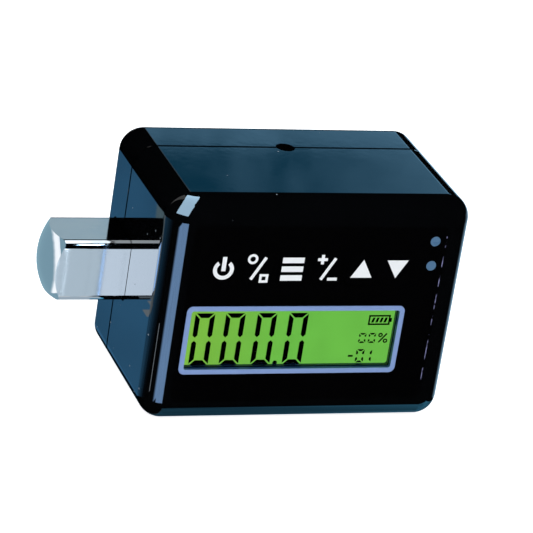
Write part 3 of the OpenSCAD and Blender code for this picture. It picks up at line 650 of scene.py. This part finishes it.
def direction(azimuth, elevation):
    """A direction by its angle from +X towards +Y and its angle above the level, in degrees."""
    turn, tilt = math.radians(azimuth), math.radians(elevation)
    return Vector((math.cos(turn) * math.cos(tilt), math.sin(turn) * math.cos(tilt), math.sin(tilt)))


def far_sheet(name, rows, distance, material, tones):
    """A bent card far away; each row is an elevation and its azimuths."""
    places = [[centre / MM + direction(azimuth, elevation) * distance for azimuth in azimuths]
              for elevation, azimuths in rows]
    return sheet_of_quads(name, places, material, tones)


def by_azimuth(name, azimuths, elevations, distance, material, tones=None):
    """A far card between two elevations, cut into steps fine enough to stay round.

    Without tones it runs between two azimuths; with tones, azimuths has one entry for each of them."""
    columns, slice_height = 12, 10
    if tones is None:
        start, end = azimuths
        azimuths = [start + (end - start) * step / columns for step in range(columns + 1)]
    low, high = elevations
    slices = max(1, round((high - low) / slice_height))
    rows = [(low + (high - low) * part / slices, azimuths) for part in range(slices + 1)]
    return far_sheet(name, rows, distance, material, tones)


def round_y(angle, reach):
    """A direction by its angle round +Y (from +X towards +Z) and its sideways reach."""
    turn = math.radians(angle)
    return Vector((reach * math.cos(turn), math.sqrt(1 - reach * reach), reach * math.sin(turn)))


def far_card(name, ways, distance, material):
    """A flat card far behind, given by the directions of its corners from the middle of the object."""
    return look_only(polygon(name, [centre + way.normalized() * distance * MM for way in ways], material))


def window_y(name, angles, reaches, material):
    """A window in the wall behind, between two angles round +Y and two sideways reaches."""
    corners = [round_y(angles[a], reaches[r]) for a, r in ((0, 0), (1, 0), (1, 1), (0, 1))]
    return far_card(name, corners, FAR, material)


FAR = 6000
WALL = FAR * 1.1
DARK = glowing("card_dark", BLACK)
LEFT_LIGHT = (0.09, 0.34, 0.66)
STRIP_LIGHT = (3.3, 5.9, 10.4)
BACK_LIGHT = (0.5, 0.85, 1.15)
LOW_LIGHT = (0.07, 0.33, 0.54)
STEEL_LIGHT = (0.65, 0.78, 0.88)
END_LIGHT = (0.29, 0.48, 0.58)
MIRRORED_LIGHT = (4.2, 4.8, 5.5)

# What the top, the left side and their edges mirror: a dark wall behind with blue windows in it
TOP_REACH = (0.44, 0.61)
far_card("wall_behind", [round_y(angle, 0.78) for angle in range(0, 360, 10)], FAR * 2, DARK)
window_y("window_top", (34, 52.6), TOP_REACH, uneven_sky("card_top"))
window_y("window_steel_top", (52.6, 58), TOP_REACH, glowing("card_steel_top", (0.44, 0.58, 0.65)))
far_sheet("window_left",
          [(-31, (96, 105, 114, 124, 138, 150)), (-26.5, (96, 106, 116, 126, 143, 158)),
           (-24, (96, 112, 130, 148, 168, 190)), (-20, (96, 113, 132, 152, 175, 195))],
          FAR, toned("card_left", scale=2.5), shades(LEFT_LIGHT, 1, 1, 1, 1, 0.5, 0))

# Dark walls all round, with a strip for the rounded left edge, a window for the drive and one for the back
by_azimuth("wall_left", (140, 224), (-50, 70), WALL, DARK)
by_azimuth("wall_front", (222, 277), (-20, 70), WALL, DARK)
by_azimuth("wall_middle", (276, 302), (-18.5, 70), WALL, DARK)
by_azimuth("wall_right", (300, 436), (-50, 60), WALL, DARK)
by_azimuth("strip_left", (216, 223, 230, 262, 276), (-28, -21), FAR, toned("card_strip", scale=24),
           shades(STRIP_LIGHT, 0, 0.5, 1, 1, 0))
by_azimuth("steel_front", (274, 300), (-36, -17.5), FAR, glowing("card_steel_front", STEEL_LIGHT))
by_azimuth("window_back", (12, 30, 62, 80), (-28, -4), FAR, toned("card_back", scale=2.5),
           shades(BACK_LIGHT, 0.4, 1, 1, 0.4))

# A low window for the rounded lower edge, lighter to the front and to the right, beside a dark one
LOW = -3000
SIDE = 200
LOW_FALL = ((-2800, 6.0), (-2100, 5.0), (-270, 3.0), (1400, 1.0), (4300, 0.35), (7000, 0.3))
LOW_RISE = ((SIDE, 0.4), (1200, 0.4), (1450, 0.85), (4200, 1.0))
sheet_of_quads("window_low", [[(x, y, LOW) for y, _ in LOW_FALL] for x, _ in LOW_RISE], toned("card_low", scale=1.5),
               [shades(LOW_LIGHT, *(share * step for _, step in LOW_FALL)) for _, share in LOW_RISE])
plate("wall_low", x=(SIDE, -9000), y=(-9000, 9000), z=LOW * 1.1)

# Black flags close in front of the face and above its upper edge; the inner side of the window mirrors one too
front = plate("flag_front", x=(3.2, 90), y=-32, z=(-27.9, 40))
front.visible_transmission = True
plate("flag_above", x=(2.1, 90), y=(-32, 9), z=40)

# Close to the steel drive: a lamp over its long edge and cards under it
over = lamp("card_over_drive", Vector((-7.25, -3.2, 18)) * MM, size=0.0135, power=0.0010, color=(0.88, 0.95, 1.0))
over.data.shape = "RECTANGLE"
over.data.size_y = 0.0145
over.rotation_quaternion = (1, 0, 0, 0)
over.visible_diffuse = False
plate("card_under_end", x=(-14, -4.0), y=(-9.5, -6.4), z=-8, color=STEEL_LIGHT, strength=0.8)
plate("card_under_middle", x=(-14, -6.2), y=(-6.4, -2.5), z=-8, color=STEEL_LIGHT, strength=0.8)

# A cup round the domed end, and a bright band that its edge mirrors
DOME_MIDDLE = Vector((-3.2, 0, 0))
CUP_RADIUS = 16.6
cup = [[DOME_MIDDLE + direction(180 - turn, tilt) * CUP_RADIUS for turn in range(-30, 61, 10)]
       for tilt in range(-45, 29, 9)]
sheet_of_quads("card_round_dome", cup, glowing("card_steel_end", END_LIGHT))
BAND_SIDES = (
    ((-17.08, 5.34, 6.42), (-16.90, 1.64, 8.48)), ((-18.05, 2.00, 6.15), (-17.39, -1.07, 7.74)),
    ((-18.56, -0.71, 5.09), (-17.66, -3.44, 6.44)), ((-18.81, -2.54, 3.52), (-17.81, -5.13, 4.77)),
    ((-18.88, -3.61, 1.88), (-17.86, -6.17, 3.09)), ((-18.81, -4.33, -0.23), (-17.81, -6.93, 0.97)),
    ((-18.60, -4.47, -2.29), (-17.67, -7.20, -1.06)), ((-18.19, -4.16, -4.52), (-17.39, -7.12, -3.24)),
    ((-17.48, -2.64, -7.18), (-17.03, -6.17, -5.74)), ((-16.18, -0.26, -9.68), (-16.41, -4.79, -8.05)))
BAND_TONES = ((-0.1, END_LIGHT), (0.15, (0.7, 0.83, 0.92)), (0.35, (1.45, 1.48, 1.52)), (0.7, (1.55, 1.55, 1.55)),
              (1.0, (1.3, 1.36, 1.45)))
band_rows = [[Vector(left).lerp(Vector(right), share) for share, _ in BAND_TONES] for left, right in BAND_SIDES]
sheet_of_quads("card_dome_edge", band_rows, toned("card_dome_edge"), [tone for _, tone in BAND_TONES])

# In front of the drive's mirror image in the left side. Pairs of screens a hair apart show one colour to each side
MIRRORED = {"y": (-26.5, -33.9), "z": (-20, -5.4)}
plate("card_mirrored_drive", x=(-26, -3.9), y=-34, z=MIRRORED["z"], color=MIRRORED_LIGHT)
plate("screen_left", x=-6.02, color=STEEL_LIGHT, **MIRRORED)
plate("screen_right", x=-5.98, color=MIRRORED_LIGHT, **MIRRORED)

# Beside the rounded left edge: a strip of light on a black flag. The far side of the flag is light for the drive
# in its lower part, and black above
EDGE_Y = (-25.6, -31)
plate("flag_edge_low", x=-1.52, y=EDGE_Y, z=(-30, -2.5), color=STEEL_LIGHT)
plate("flag_edge_high", x=-1.52, y=EDGE_Y, z=(-2.5, 20))
plate("flag_edge", x=-1.5, y=EDGE_Y, z=(-30, 20))
sheet_of_quads("card_edge", [[(-1.48, y, z) for y in (-26, -28.0, -28.8, -29.6, -31)] for z in (-20.5, 16.4)],
               toned("card_edge"), shades(STRIP_LIGHT, 0, 0, 0.5, 1, 1))

# A bent strip that the upper left corner of the face mirrors as a short bar
sheet_of_quads("card_corner", [
    [(-3.3, -25.9, 21.9), (2.2, -30.6, 21.8)], [(-2.2, -25.6, 24.5), (3.8, -29.7, 24.4)],
    [(-0.5, -24.6, 26.6), (5.8, -27.6, 26.5)], [(1.6, -22.7, 27.9), (6.8, -24.8, 27.8)],
    [(4.0, -19.9, 27.9), (7.6, -21.4, 28.0)]], glowing("card_corner", (0.5, 0.76, 1.0), 18.0))
